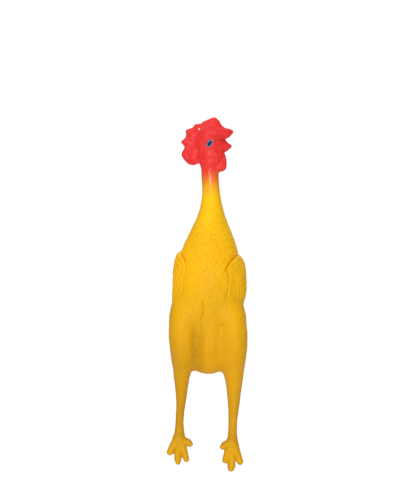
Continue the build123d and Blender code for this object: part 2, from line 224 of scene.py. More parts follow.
RIGHT_WING = {
    "out": -1,
    "outline": np.array([
        (100, -102.4), (92, -103.4), (85, -105.6), (63, -109.7), (54, -112.8), (50, -117.0),
        (51, -126.0), (52, -136.0), (54, -146.0), (62, -151.0), (85, -153.0), (110, -149.0),
        (138, -141.0), (146, -128.0), (138, -113.0), (120, -104.0)]),
    "lip": np.array([(-102, 0.0), (-105, 1.1), (-111, 1.4), (-114, 0.7), (-118, 0.15), (-146, 0.1),
                     (-151, 0.0)]),
    "side": np.array([(-102.6, 0.0), (-104.2, 0.9), (-105.6, 2.4), (-108, 3.5), (-115, 3.6), (-121.8, 3.4),
                      (-128.7, 2.5), (-135.5, 1.8), (-142.3, 1.5), (-148, 0.8), (-153, 0.0)]),
}
WING_ARC = 0.44            # mm of skin round the trunk for a degree
# The squeaker's pad on the back, its socket in the pad, and the well its barrel goes down.
SQUEAKER_Z, PAD_R, PAD_Y = -172.0, 12.5, 22.6
SOCKET_R, SOCKET_Y = 10.9, 20.4
WELL_R, WELL_Y = 8.6, 12.0
EYE_X, EYE_Z, EYE_LEAN = 9.2, -12.4, 33.0
TAG_HOLE_R = 0.75
LEG_TOP = -142.0           # where the thighs begin, inside the trunk


def outline_distance(x, z, points):
    """Signed distance to a closed outline, negative inside."""
    best = np.full(len(x), 1e9)
    inside = np.zeros(len(x), bool)
    for (x1, z1), (x2, z2) in zip(points, np.roll(points, -1, axis=0)):
        ex, ez = x2 - x1, z2 - z1
        t = np.clip(((x - x1) * ex + (z - z1) * ez) / (ex * ex + ez * ez), 0, 1)
        best = np.minimum(best, np.hypot(x - x1 - t * ex, z - z1 - t * ez))
        crosses = (z1 > z) != (z2 > z)
        if z1 != z2:
            inside ^= crosses & (x < (x2 - x1) * (z - z1) / (z2 - z1) + x1)
    return np.where(inside, -best, best)


def curve(points, steps=5):
    """A closed smooth curve through the points (Catmull-Rom)."""
    p0, p1, p2, p3 = (np.roll(points, shift, axis=0)[:, None] for shift in (1, 0, -1, -2))
    t = (np.arange(steps) / steps)[None, :, None]
    through = p1 + 0.5 * t * (p2 - p0 + t * (2 * p0 - 5 * p1 + 4 * p2 - p3 + t * (3 * (p1 - p2) + p3 - p0)))
    return through.reshape(-1, 2)


def line_distance(x, z, a, b):
    """Distance to the line a to b, and how far along it is from 0 to 1."""
    ex, ez = b[0] - a[0], b[1] - a[1]
    t = np.clip(((x - a[0]) * ex + (z - a[1]) * ez) / (ex * ex + ez * ez), 0, 1)
    return np.hypot(x - a[0] - t * ex, z - a[1] - t * ez), t


def beak(p, rows):
    """A beak half along X: rows of (x, z, radius)."""
    d = None
    for (x1, z1, r1), (x2, z2, r2) in zip(rows, rows[1:]):
        c = cone(p, (x1, 0, z1), (x2, 0, z2), r1, r2)
        d = c if d is None else smin(d, c, 0.8)
    return d


def head(p):
    x, y, z = p.T
    side = np.abs(y)
    d = ellipsoid(p, (9.2, 0, -12.5), (12.6, 9.4, 13.6), 6)
    d = smin(d, ellipsoid(p, (10.4, 0, -24.0), (10.8, 8.6, 11.5), -4), 4.0)
    # comb and rear lobe
    edge = outline_distance(x, z, curve(COMB))
    thick = 1.6 + 1.5 * (1 - np.exp(np.minimum(edge, 0) / 2.6))
    d = smin(d, rounded(edge, side - thick, 1.0), 2.2)
    d = smin(d, ellipsoid(p, (-5.6, 0, -22.2), (7.7, 4.4, 7.0), 30), 2.6)
    # beak
    upper = beak(p, [(17.0, -4.2, 6.2), (22.8, -3.6, 4.3), (26.9, -2.5, 2.2)])
    lower = beak(p, [(16.0, -15.2, 6.2), (21.8, -15.0, 4.2), (26.1, -14.7, 1.7)])
    mouth = beak(p, [(14.0, -10.0, 6.0), (21.7, -10.3, 2.0)])
    d = smin(d, upper, 2.0)
    d = smin(d, lower, 2.0)
    d = smin(d, mouth, 1.0)
    # wattles, one each side of the chin
    mirrored = np.stack([x, side, z], 1)
    d = smin(d, ellipsoid(mirrored, (18.6, 2.9, -27.6), (4.9, 3.6, 8.2)), 2.2)
    d = smin(d, ellipsoid(mirrored, (19.2, 2.8, -31.6), (4.2, 3.2, 4.5)), 1.2)
    d = smin(d, ellipsoid(mirrored, (16.4, 1.8, -32.4), (3.4, 4.2, 4.0)), 1.6)
    d = smin(d, ellipsoid(mirrored, (14.2, 5.2, -22.6), (5.4, 3.8, 5.6), -30), 1.6)
    # brow over the eye, and the socket under it
    d = smin(d, ellipsoid(mirrored, (9.4, 7.0, -6.8), (6.2, 2.2, 2.2), -10), 3.0)
    socket = ellipsoid(mirrored, (EYE_X, 12.0, EYE_Z), (4.2, 3.4, 5.6), EYE_LEAN)
    return smax(d, -socket, 1.6)


def wing(p, trunk, w):
    """Distance to a folded wing; then each point's distance to its outline, angle and lip height."""
    x, y, z = p.T
    tz, (tx, ta, tb, ty) = TRUNK
    cx, a, b, cy = (np.interp(z, tz, c) for c in (tx, ta, tb, ty))
    angle = np.degrees(np.arctan2(np.maximum(w["out"] * (x - cx) / a, 1e-3), -(y - cy) / b))
    outline = w["outline"] * np.array([WING_ARC, 1.0])
    edge = outline_distance(angle * WING_ARC, z, outline)
    lip, side = (np.interp(z, w[k][::-1, 0], w[k][::-1, 1]) for k in ("lip", "side"))
    thick = lip + (side - lip) * step(46.0, 86.0, angle)
    return rounded(edge, trunk - thick, 0.9), edge, angle, lip


def shape(p):
    """The whole skin without its fine relief."""
    p = np.asarray(p, np.float32)
    x, y, z = p.T
    d = smax(tube(p, TRUNK), -182.0 - z, 0.8)
    d = smin(d, ellipsoid(p, (BODY_X, 0.8, -172.0), (27.4, 20.6, 36.6)), 2.0)

    def blend_in(mask, part, k):
        if mask.any():
            d[mask] = smin(d[mask], part(p[mask]), k)

    blend_in((z < -130) & (x < 12), lambda q: smax(tube(q, RIGHT_LEG), q[:, 2] - LEG_TOP, 5.0), 7.0)
    blend_in((z < -130) & (x > 4), lambda q: smax(tube(q, LEFT_LEG), q[:, 2] - LEG_TOP, 5.0), 7.0)
    for folded in (LEFT_WING, RIGHT_WING):
        near = (z < -96) & (z > -160) & (folded["out"] * (x - BODY_X) > 2)
        if near.any():
            w, edge, angle, lip = wing(p[near], tube(p[near], TRUNK), folded)
            groove = (0.30 * step(0.03, 0.3, lip) + 0.6 * lip) * step(110.0, 86.0, angle)
            d[near] = smin(d[near] + groove * bell(edge - 0.5, 0.85), w, 0.6)
    # tail
    blend_in((z < -170) & (y > -2),
             lambda q: cone(q, (BODY_X, 6, -192), (BODY_X, 15.5, -203.5), 7.0, 3.2), 4.0)
    # the squeaker's pad and what is cut into it
    near = (z < -150) & (z > -195) & (y > 8)
    if near.any():
        q = p[near]
        rho = np.hypot(q[:, 0] - BODY_X, q[:, 2] - SQUEAKER_Z)
        near_pad = smin(d[near], rounded(rho - PAD_R, q[:, 1] - PAD_Y + 0.6, 0.8), 1.6)
        near_pad = smax(near_pad, -np.maximum(rho - SOCKET_R, SOCKET_Y - q[:, 1]), 0.2)
        d[near] = smax(near_pad, -np.maximum(rho - WELL_R, WELL_Y - q[:, 1]), 0.2)
    # feet
    for foot, mask in ((RIGHT_FOOT, (z < -250) & (x < 6)), (LEFT_FOOT, (z < -250) & (x > 6))):
        if mask.any():
            q = p[mask]
            leg = smax(d[mask], (-265.0 if foot is RIGHT_FOOT else -270.0) - q[:, 2], 2.0)
            toes = None
            for (x1, z1), (x2, z2), r1, r2 in foot:
                c = cone(q, (x1, 0.3, z1), (x2, -0.6, z2), r1, r2)
                toes = c if toes is None else smin(toes, c, 0.9)
            for (x1, z1), (x2, z2), r in WEBS:
                toes = smin(toes, cone(q, (x1, 0.3, z1), (x2, -0.2, z2), 2.6, r), 0.9)
            d[mask] = smin(leg, toes, 2.0)
    # the head runs down into the neck, and the tag hole goes through the comb
    near = z > -62
    if near.any():
        neck = smax(d[near], p[near][:, 2] + 26.0, 3.0)
        d[near] = smin(neck, head(p[near]), 2.6)
        rho = np.hypot(x[near], z[near])
        d[near] = smax(d[near], TAG_HOLE_R - rho, 0.25)
    return d


# --------------------------------------------------------------------------------------------------
# Fine relief, as real geometry: pebbled skin, folds, feathers, toe joints, pits and the mould line.
# --------------------------------------------------------------------------------------------------
rng = np.random.default_rng(11)


def waves(count, wavelength, spread=0.18):
    """Random wave vectors and phases round one wavelength in mm."""
    k = rng.normal(size=(count, 3))
    k /= np.linalg.norm(k, axis=1)[:, None]
    k *= (2 * math.pi / wavelength * (1 + spread * rng.uniform(-1, 1, count)))[:, None]
    return k.astype(np.float32), rng.uniform(0, 2 * math.pi, count).astype(np.float32)


def noise(p, spectrum):
    """The sum of the waves, about -1 to 1."""
    k, phase = spectrum
    total = np.zeros(len(p), np.float32)
    for ki, fi in zip(k, phase):
        total += np.cos(p @ ki + fi)
    return total / math.sqrt(len(k) / 2)


PEBBLES = waves(14, 2.0)
GRAIN = waves(8, 3.6)
LUMPS = waves(7, 15.0, 0.4)
WRINKLES = waves(6, 5.5, 0.3)
# Follicle pits on the belly, and dents, as (x, z, radius, depth).
PITS = [
    (1.6, -160.6, 0.85, 0.5), (2.3, -168.2, 0.75, 0.4), (3.6, -176.6, 0.85, 0.5), (1.2, -164.2, 0.6, 0.3),
    (19.6, -166.2, 0.9, 0.55), (-8.5, -158.0, 0.5, 0.2), (13.5, -186.0, 0.5, 0.22),
    (-17.0, -181.5, 0.55, 0.24), (24.0, -152.5, 0.5, 0.2), (4.5, -121.0, 0.5, 0.2),
    (-10.4, -139.5, 0.5, 0.22), (22.0, -189.0, 0.5, 0.2), (31.5, -177.0, 0.55, 0.2),
    (-3.4, -197.0, 0.6, 0.25), (9.5, -193.0, 0.45, 0.2), (-16.0, -232.0, 0.4, 0.15),
]
HEAD_CUT = -37.4           # where the head's mesh meets the body's, with no relief on the cut itself
COVERT_TOP, COVERT_PITCH, SCALLOP, BARB = -108.0, 8.0, 5.2, 3.4
TOE_JOINT, SHANK_SCALE = 3.3, 4.3


def relief(p):
    """How far the skin stands out from shape(), in mm."""
    p = np.asarray(p, np.float32)
    x, y, z = p.T
    front = step(2.0, -8.0, y)
    head_zone = step(-46.0, -36.0, z)
    leg_zone = step(-205.0, -222.0, z)
    # pebbles, highest on the breast; the neck is nearly smooth and the head has none
    breast = step(-72.0, -84.0, z) * step(-128.0, -108.0, z)
    amount = (0.075 + 0.08 * breast) * (1 - head_zone) * (1 - 0.55 * leg_zone)
    amount = amount * (0.04 + 0.96 * step(-58.0, -84.0, z))
    d = amount * np.clip(noise(p, PEBBLES), -0.7, 1.6)
    d += 0.05 * noise(p, GRAIN) * (1 - step(-72.0, -56.0, z))
    d += 0.16 * noise(p, LUMPS) * step(-80.0, -110.0, z) * (1 - leg_zone)
    # mould line round the toy, in the plane of the head
    d += 0.14 * bell(y, 0.42) * (1 - head_zone * 0.5)
    # the short groove over the belly, the valley under it, a shallow dent beside it, and the pits
    d -= 0.75 * front * bell(x - 3.0, 1.0) * step(-144.0, -149.0, z) * step(-162.0, -156.0, z)
    d -= 1.7 * front * step(-9.6, -1.6, x) * step(8.0, 0.0, x) * bell(z + 186.0, 24.0)
    d -= 1.0 * front * bell(x - 18.0, 3.6) * bell(z + 184.0, 21.0)
    for px, pz, r, depth in PITS:
        rho2 = ((x - px) ** 2 + (z - pz) ** 2) / r**2
        d -= front * depth * np.exp(-rho2) * (rho2 < 9)
    # wing feathers: barbs that fan down to the lower edge, and two rows of coverts
    for folded in (LEFT_WING, RIGHT_WING):
        near = (z < -98) & (z > -158) & (folded["out"] * (x - BODY_X) > 6)
        if not near.any():
            continue
        q = p[near]
        _, edge, angle, _ = wing(q, tube(q, TRUNK), folded)
        on = step(-0.8, -2.6, edge) * step(44.0, 62.0, angle)
        across = (angle - 90.0) * WING_ARC + 0.12 * (q[:, 2] + 128)
        low = step(-126.0, -133.0, q[:, 2])
        barbs = np.abs(np.sin(across * math.pi / BARB + 0.35 * np.sin(q[:, 2] / 5.0)))
        feathers = 0.42 * (barbs**0.6 - 0.75) * low
        down = -q[:, 2] + COVERT_TOP
        row = np.mod(down, COVERT_PITCH) / COVERT_PITCH
        phase = np.floor(down / COVERT_PITCH) * 0.5
        scallop = np.abs(np.sin(math.pi * (across / SCALLOP + phase)))
        tips = step(0.0, 0.75, row + 0.25 * scallop) * step(1.08, 0.86, row)
        coverts = 0.5 * (tips - 0.6) * (1 - low)
        d[near] += on * (feathers + coverts * 0.55)
    # comb, face and wattles
    near = z > -42
    if near.any():
        q = p[near]
        qx, qy, qz = q.T
        e = np.zeros(len(q), np.float32)
        flank = step(1.0, 2.0, np.abs(qy))
        for a, b in COMB_FOLDS:
            rho, t = line_distance(qx, qz, a, b)
            e -= 0.34 * bell(rho, 1.3) * (1 - 0.9 * t) * flank
        # mouth corner and nostril, then the creases of the face and the ring round the eye
        rho, t = line_distance(qx, qz, (24.0, -9.4), (15.8, -9.9))
        e -= 0.8 * bell(rho, 0.8) * (1 - 0.5 * t)
        rho = np.hypot((qx - 22.3) / 1.3, (qz + 2.4) / 0.7)
        e -= 0.55 * bell(rho, 0.9)
        for a, b in FACE_FOLDS:
            rho, t = line_distance(qx, qz, a, b)
            e -= 0.62 * bell(rho, 1.15) * np.sin(math.pi * np.clip(0.15 + 0.85 * t, 0, 1)) * flank
        c, s = math.cos(math.radians(EYE_LEAN)), math.sin(math.radians(EYE_LEAN))
        ux = (qx - EYE_X) * c - (qz - EYE_Z) * s
        uz = (qx - EYE_X) * s + (qz - EYE_Z) * c
        ring = np.hypot(ux / 3.1, uz / 4.7)
        e += 0.35 * bell(ring - 1.12, 0.2) * flank
        e += 0.07 * noise(q, WRINKLES) * flank
        d[near] += e * step(HEAD_CUT + 0.2, HEAD_CUT + 3.0, qz)
    # joints of the toes
    for foot, near in ((RIGHT_FOOT, (z < -256) & (x < 6)), (LEFT_FOOT, (z < -256) & (x > 6))):
        if not near.any():
            continue
        q = p[near]
        e = np.zeros(len(q), np.float32)
        for root, tip, _, _ in foot[:4]:
            rho, t = line_distance(q[:, 0], q[:, 2], root, tip)
            along = t * math.hypot(tip[0] - root[0], tip[1] - root[1])
            joints = np.clip(np.cos(along * 2 * math.pi / TOE_JOINT) - 0.35, 0, 1)
            e -= 0.12 * step(2.6, 1.4, rho) * joints * step(0.35, 0.6, t)
        d[near] += e
    # scales round the shanks
    rings = np.clip(np.cos(z * 2 * math.pi / SHANK_SCALE + 0.9 * np.sin(x * 1.3)) - 0.55, 0, 1)
    d -= 0.12 * rings * step(-222.0, -236.0, z) * step(-262.0, -256.0, z)
    return d * step(0.2, 1.4, np.abs(z - HEAD_CUT))


def skin(p):
    return shape(p) - relief(p)


def gradient(field, p, eps):
    """The field's slope at each point, from differences eps mm to each side."""
    g = np.empty((len(p), 3))
    for axis in range(3):
        shift = np.zeros(3)
        shift[axis] = eps
        g[:, axis] = (field(p + shift) - field(p - shift)) / (2 * eps)
    return g


def surface(field, low, high, cell):
    """Quads on field = 0 inside a box."""
    low, high = np.array(low, float), np.array(high, float)
    n = np.ceil((high - low) / cell).astype(int) + 1
    axes = [low[i] + cell * np.arange(n[i]) for i in range(3)]
    values = np.empty(n, np.float32)
    for i, xi in enumerate(axes[0]):
        yy, zz = np.meshgrid(axes[1], axes[2], indexing="ij")
        layer = np.stack([np.full(yy.size, xi), yy.ravel(), zz.ravel()], 1)
        values[i] = field(layer).reshape(n[1], n[2])
    grid = openvdb.FloatGrid(float(cell * 4))
    grid.copyFromArray(values)
    points, quads = grid.convertToQuads(isovalue=0.0)
    return low + cell * np.asarray(points, float), np.asarray(quads, np.int64)


def subdivide(v, q):
    """Splits each quad into four."""
    edges = np.sort(np.stack([q, np.roll(q, -1, axis=1)], 2).reshape(-1, 2), axis=1)
    keys = edges[:, 0] * len(v) + edges[:, 1]
    unique, index = np.unique(keys, return_inverse=True)
    a, b = unique // len(v), unique % len(v)
    middles = (v[a] + v[b]) / 2
    centres = v[q].mean(axis=1)
    e = index.reshape(-1, 4) + len(v)
    c = np.arange(len(q)) + len(v) + len(middles)
    new = [np.stack([q[:, i], e[:, i], c, e[:, i - 1]], 1) for i in range(4)]
    return np.concatenate([v, middles, centres]), np.concatenate(new)


def relax(v, q, field, rounds, eps):
    """Evens the quads out along the surface and lands every point on it."""
    a = np.concatenate([q[:, 0], q[:, 1], q[:, 2], q[:, 3]])
    b = np.concatenate([q[:, 1], q[:, 2], q[:, 3], q[:, 0]])
    ends, other = np.concatenate([a, b]), np.concatenate([b, a])
    count = np.bincount(ends, minlength=len(v))[:, None]
    for _ in range(rounds):
        mean = np.stack([np.bincount(ends, v[other, i], len(v)) for i in range(3)], 1) / count
        g = gradient(field, v, eps)
        n = g / np.linalg.norm(g, axis=1)[:, None]
        move = 0.5 * (mean - v)
        v = v + move - (move * n).sum(1)[:, None] * n
        v = v - (field(v) / np.maximum(np.linalg.norm(g, axis=1), 0.2))[:, None] * n
    return v


def land(v, field, rounds, eps, keep_axis=None):
    """Moves points onto the field's surface, each within its cut plane when keep_axis names one."""
    for _ in range(rounds):
        g = gradient(field, v, eps)
        if keep_axis is not None:
            g[:, keep_axis] = 0
        f = field(v)
        stepping = np.clip(f / np.maximum((g * g).sum(1), 0.15), -0.6, 0.6)
        v = v - stepping[:, None] * g
    return v


def fine_surface(low, high, cell):
    """The skin inside a box, in quads half a cell wide."""
    v, q = surface(shape, low, high, cell)
    v = relax(v, q, shape, 3, 0.05)
    v, q = subdivide(v, q)
    v = relax(v, q, shape, 2, 0.05)
    return land(v, skin, 3, FINE), q


def to_bmesh(v, q):
    """The quads as one working mesh that pieces are cut from."""
    mesh = bpy.data.meshes.new("work")
    mesh.from_pydata((v * MM).tolist(), [], q.tolist())
    bm = bmesh.new()
    bm.from_mesh(mesh)
    bpy.data.meshes.remove(mesh)
    bm.normal_update()
    return bm


def cut(bm, keep):
    """Keeps the side of each plane (axis, height in mm, +1 or -1) that keep names, in a copy."""
    bm = bm.copy()
    for axis, height, sign in keep:
        normal = Vector((0, 0, 0))
        normal[axis] = sign
        point = Vector((0, 0, 0))
        point[axis] = height * MM
        bmesh.ops.bisect_plane(bm, geom=bm.verts[:] + bm.edges[:] + bm.faces[:], dist=1e-7,
                               plane_co=point, plane_no=-normal, clear_outer=True)
    return bm


skins = {}


def skin_piece(name, source, keep):
    """A piece of skin between cut planes, with exact normals so that its neighbours' shading runs on."""
    bm = cut(source, keep)
    loose = [v for v in bm.verts if not v.link_faces]
    bmesh.ops.delete(bm, geom=loose, context="VERTS")
    mesh = bpy.data.meshes.new(name)
    bm.to_mesh(mesh)
    bm.free()
    co = np.empty(len(mesh.vertices) * 3, np.float64)
    mesh.vertices.foreach_get("co", co)
    co = co.reshape(-1, 3) / MM
    for axis, height, _ in keep:
        edge = np.abs(co[:, axis] - height) < 1e-3
        if edge.any():
            co[edge] = land(co[edge], skin, 3, FINE, keep_axis=axis)
    mesh.vertices.foreach_set("co", (co * MM).astype(np.float32).ravel())
    rest = mesh.attributes.new("rest", "FLOAT_VECTOR", "POINT")
    rest.data.foreach_set("vector", (co * MM).astype(np.float32).ravel())
    # painted shade for the folds, and painted light and shade, stored on the points for the latex
    for mark, values in (("hollow", curvature_shade(co)), ("tone", tone(co))):
        mesh.attributes.new(mark, "FLOAT", "POINT").data.foreach_set("value", values.astype(np.float32))
    mesh.materials.append(LATEX)
    mesh.shade_smooth()
    g = gradient(skin, co, FINE)
    g /= np.linalg.norm(g, axis=1)[:, None]
    mesh.update()
    mesh.normals_split_custom_set_from_vertices(g.astype(np.float32))
    obj = bpy.data.objects.new(name, mesh)
    bpy.context.scene.collection.objects.link(obj)
    skins[name] = obj


def tone(p):
    """Painted light and shade multiplied into the latex: darker down the legs and over the belly, lighter on
    some edges.
    """
    x, y, z = p.T
    front = step(2.0, -8.0, y)
    # painted shade: darker down the body and over the middle of the belly
    t = 1 - 0.12 * step(-106.0, -150.0, z) - 0.07 * front * bell(x - 12.0, 11.0) * bell(z + 137.0, 34.0)
    # painted shade in the belly's valley, groove and pits
    valley = 0.17 * front * step(-9.0, -3.6, x) * step(8.0, -1.0, x)
    t -= valley * step(-150.0, -184.0, z) * step(-216.0, -202.0, z)
    t -= 0.09 * front * bell(x - 3.0, 1.3) * step(-144.0, -150.0, z) * step(-162.0, -156.0, z)
    for px, pz, r, depth in PITS:
        t -= 0.36 * depth * front * bell(np.hypot(x - px, z - pz), 1.1 * r)
    # painted shade on the right thigh and both shanks, painted light on the left thigh's and right wing's
    # outer edges
    t -= 0.09 * bell(x + 15.0, 10.0) * step(-172.0, -206.0, z)
    t -= 0.10 * step(-205.0, -240.0, z) * step(-278.0, -258.0, z)
    t += (0.07 * bell(x - 36.0, 8.0) * bell(z + 165.0, 26.0)
          + 0.10 * bell(x + 20.0, 7.0) * bell(z + 134.0, 18.0))
    # painted shade along the left wing's front crease
    t -= 0.05 * bell(x - 28.0, 7.0) * bell(z + 115.0, 8.0)
    # feet: the right foot a little lighter, and painted shade from the middle of each toe to its sides
    t += 0.07 * step(-252.0, -264.0, z) * step(4.0, 0.0, x)
    across = np.ones(len(p), np.float32)
    for a, b, r1, r2 in RIGHT_FOOT + LEFT_FOOT:
        rho, along = line_distance(x, z, a, b)
        across = np.minimum(across, rho / (r1 + (r2 - r1) * along))
    t -= 0.13 * step(0.35, 1.1, across) * step(-256.0, -266.0, z)
    return np.minimum(t, 1.0)


def curvature_shade(p):
    """Painted shade for the folds: 0 on crests to 1 in folds, from the skin's own curvature over reach mm.
    """
    reach = 0.7
    around = sum(skin(p + reach * np.array(u)) for u in
                 ((1, 0, 0), (-1, 0, 0), (0, 1, 0), (0, -1, 0), (0, 0, 1), (0, 0, -1)))
    return np.clip(0.5 - around / 6 / reach * 2.2, 0, 1)


# --------------------------------------------------------------------------------------------------
# Materials
# --------------------------------------------------------------------------------------------------


def linear(r, g, b):
    """An 8-bit sRGB colour as linear RGBA."""
    def one(c):
        c /= 255
        return c / 12.92 if c <= 0.04045 else ((c + 0.055) / 1.055) ** 2.4
    return one(r), one(g), one(b), 1.0


class Nodes:
    """A small helper for material node trees."""

    def __init__(self, name):
        self.material = bpy.data.materials.new(name)
        self.material.use_nodes = True
        self.tree = self.material.node_tree
        self.tree.nodes.clear()
        self.out = self.tree.nodes.new("ShaderNodeOutputMaterial")
        self.shader = self.tree.nodes.new("ShaderNodeBsdfPrincipled")
        self.tree.links.new(self.shader.outputs[0], self.out.inputs["Surface"])

    def link(self, value, socket):
        """Links another node's socket, or sets a constant."""
        if isinstance(value, bpy.types.NodeSocket):
            self.tree.links.new(value, socket)
        else:
            socket.default_value = value

    def add(self, kind, out=0, props=None, **inputs):
        """A node's output; inputs are named, or i0, i1 and so on by number."""
        node = self.tree.nodes.new(kind)
        for k, v in (props or {}).items():
            setattr(node, k, v)
        for k, v in inputs.items():
            self.link(v, node.inputs[int(k[1:])] if k[0] == "i" and k[1:].isdigit() else node.inputs[k])
        return node.outputs[out]

    def attribute(self, name, out="Vector"):
        return self.add("ShaderNodeAttribute", out, {"attribute_name": name})

    def math(self, operation, a, b, clamp=False):
        return self.add("ShaderNodeMath", 0, {"operation": operation, "use_clamp": clamp}, i0=a, i1=b)

    def noise(self, vector, scale, detail=2.0, roughness=0.5):
        return self.add("ShaderNodeTexNoise", "Fac", None, Vector=vector, Scale=scale, Detail=detail,
                        Roughness=roughness)

    def voronoi(self, vector, scale, feature="F1", out="Distance"):
        return self.add("ShaderNodeTexVoronoi", out, {"feature": feature}, Vector=vector, Scale=scale,
                        Randomness=1.0)

    def ramp(self, value, low, high, to_low=0.0, to_high=1.0):
        props = {"interpolation_type": "SMOOTHSTEP"}
        return self.add("ShaderNodeMapRange", 0, props, i0=value, i1=low, i2=high, i3=to_low, i4=to_high)

    def mix(self, factor, a, b, blend="MIX"):
        node = self.tree.nodes.new("ShaderNodeMix")
        node.data_type, node.blend_type = "RGBA", blend
        self.link(factor, node.inputs[0])
        self.link(a, node.inputs[6])
        self.link(b, node.inputs[7])
        return node.outputs[2]

    def bump(self, height, strength, distance, normal=None):
        inputs = {"Height": height, "Strength": strength, "Distance": distance}
        if normal is not None:
            inputs["Normal"] = normal
        return self.add("ShaderNodeBump", 0, None, **inputs)

    def finish(self, color, roughness, normal=None, **constants):
        self.link(color, self.shader.inputs["Base Color"])
        self.link(roughness, self.shader.inputs["Roughness"])
        if normal is not None:
            self.link(normal, self.shader.inputs["Normal"])
        for k, v in constants.items():
            self.shader.inputs[k.replace("_", " ")].default_value = v
        return self.material


def latex_material():
    """Yellow latex, sprayed red over the head: the spray fades down the neck."""
    n = Nodes("latex")
    rest = n.attribute("rest")
    z = n.add("ShaderNodeSeparateXYZ", 2, None, Vector=rest)
    hollow = n.attribute("hollow", "Fac")

    # yellow, with painted shade in the folds, warmer toward the feet, in faint clouds
    clouds = n.noise(rest, 45.0, 3.0, 0.55)
    mottle = n.noise(rest, 420.0, 2.0, 0.6)
    yellow = n.mix(n.ramp(z, -0.070, -0.128), linear(255, 199, 3), linear(255, 190, 2))
    yellow = n.mix(n.ramp(clouds, 0.35, 0.65, 0.0, 0.6), yellow, linear(250, 183, 2))
    yellow = n.mix(n.ramp(mottle, 0.35, 0.7, 0.0, 0.25), yellow, linear(255, 208, 4))
    low = n.ramp(z, -0.125, -0.205)
    yellow = n.mix(n.math("MULTIPLY", low, 0.80), yellow, linear(230, 165, 2))
    # painted shade: darker orange where the skin folds in
    yellow = n.mix(n.ramp(hollow, 0.52, 0.98, 0.0, 0.55), yellow, linear(206, 128, 2))

    # pores: sparse pin pricks bumped in, their darkness painted shade in the tiny pits
    cells = n.voronoi(rest, 130.0)
    pick = n.add("ShaderNodeSeparateColor", 0, None, Color=n.voronoi(rest, 130.0, out="Color"))
    pore = n.math("MULTIPLY", n.ramp(cells, 0.065, 0.03), n.ramp(pick, 0.955, 0.965))
    yellow = n.mix(n.math("MULTIPLY", pore, 0.4), yellow, linear(170, 104, 8))

    # red spray, with painted shade in its folds
    red = n.mix(n.ramp(clouds, 0.35, 0.65), linear(237, 54, 50), linear(230, 44, 47))
    red = n.mix(n.ramp(mottle, 0.35, 0.7, 0.0, 0.3), red, linear(243, 72, 62))
    # painted shade: darker red where the skin folds in
    red = n.mix(n.ramp(hollow, 0.50, 0.95, 0.0, 0.55), red, linear(176, 12, 20))
    edge = n.math("MULTIPLY", n.math("SUBTRACT", n.noise(rest, 110.0, 3.0, 0.6), 0.5), 0.010)
    droplets = n.math("MULTIPLY", n.math("SUBTRACT", n.noise(rest, 2400.0, 1.0), 0.5), 0.018)
    height = n.math("ADD", n.math("ADD", z, edge), droplets)
    spray = n.ramp(height, -0.0590, -0.0330)
    color = n.mix(spray, yellow, red)
    # the painted light and shade stored on the skin multiplies the colour
    color = n.mix(1.0, color, n.attribute("tone", "Fac"), "MULTIPLY")

    # fine grain
    grain = n.voronoi(rest, 1150.0, "SMOOTH_F1")
    fine = n.noise(rest, 3600.0, 3.0, 0.6)
    height = n.math("ADD", n.math("MULTIPLY", grain, 0.6), n.math("MULTIPLY", fine, 0.25))
    glossy = n.math("MULTIPLY", n.ramp(z, -0.0600, -0.0500), n.ramp(z, -0.0325, -0.0365))
    height = n.math("MULTIPLY", height, n.math("SUBTRACT", 1.0, n.math("MULTIPLY", glossy, 0.97)))
    normal = n.bump(height, 0.30, 0.00016)
    normal = n.bump(n.math("MULTIPLY", pore, -1.0), 0.5, 0.0002, normal)

    rough = n.ramp(n.noise(rest, 260.0, 2.0), 0.3, 0.7, 0.46, 0.56)
    rough = n.math("SUBTRACT", rough, n.math("MULTIPLY", spray, 0.16))
    rough = n.math("SUBTRACT", rough, n.math("MULTIPLY", glossy, 0.20), clamp=True)
    return n.finish(color, rough, normal, Specular_IOR_Level=0.18)


def plain_material(name, color, dark, rough, bump=0.2, **constants):
    """One colour in faint clouds of a darker one, with fine grain."""
    n = Nodes(name)
    place = n.add("ShaderNodeTexCoord", "Object")
    clouds = n.noise(place, 220.0, 3.0, 0.55)
    tint = n.mix(n.ramp(clouds, 0.3, 0.7), color, dark)
    grain = n.noise(place, 900.0, 3.0, 0.6)
    normal = n.bump(grain, bump, 0.0001)
    roughness = n.ramp(n.noise(place, 500.0, 2.0), 0.3, 0.7, rough - 0.05, rough + 0.06)
    return n.finish(tint, roughness, normal, **constants)


LATEX = latex_material()
EYE_BLUE = plain_material("eye_paint", linear(88, 134, 172), linear(66, 112, 156), 0.42,
                          Specular_IOR_Level=0.3)
EYE_NAVY = plain_material("pupil_paint", linear(8, 28, 66), linear(4, 16, 44), 0.42,
                          Specular_IOR_Level=0.12)
PLASTIC = plain_material("squeaker_plastic", linear(236, 234, 226), linear(226, 223, 212), 0.38)
REED = plain_material("reed_film", linear(205, 212, 216), linear(190, 198, 205), 0.22, bump=0.05)

# --------------------------------------------------------------------------------------------------
# Skin pieces
# --------------------------------------------------------------------------------------------------
coarse = 1.0
HEAD_CELL, BODY_CELL = 0.66, 0.84
# Where the skin is cut: heights down the neck and the legs, then the planes that part the belly from
# the back, the upper back from the lower, and the legs from each other.
NECK_CUTS = [HEAD_CUT, -46.0, -61.0, -79.0]
HIPS = -214.0
RIGHT_CUTS = [HIPS, -228.0, -242.0, -256.0]
LEFT_CUTS = [HIPS, -230.0, -246.0, -261.0]
BELLY_Y, WAIST = -13.0, -147.0
BETWEEN_LEGS = 6.0

head_mesh = to_bmesh(*fine_surface((-18, -13, -40), (32, 13, 13), HEAD_CELL * coarse))
skin_piece("skin_head", head_mesh, [(2, HEAD_CUT, 1)])
head_mesh.free()

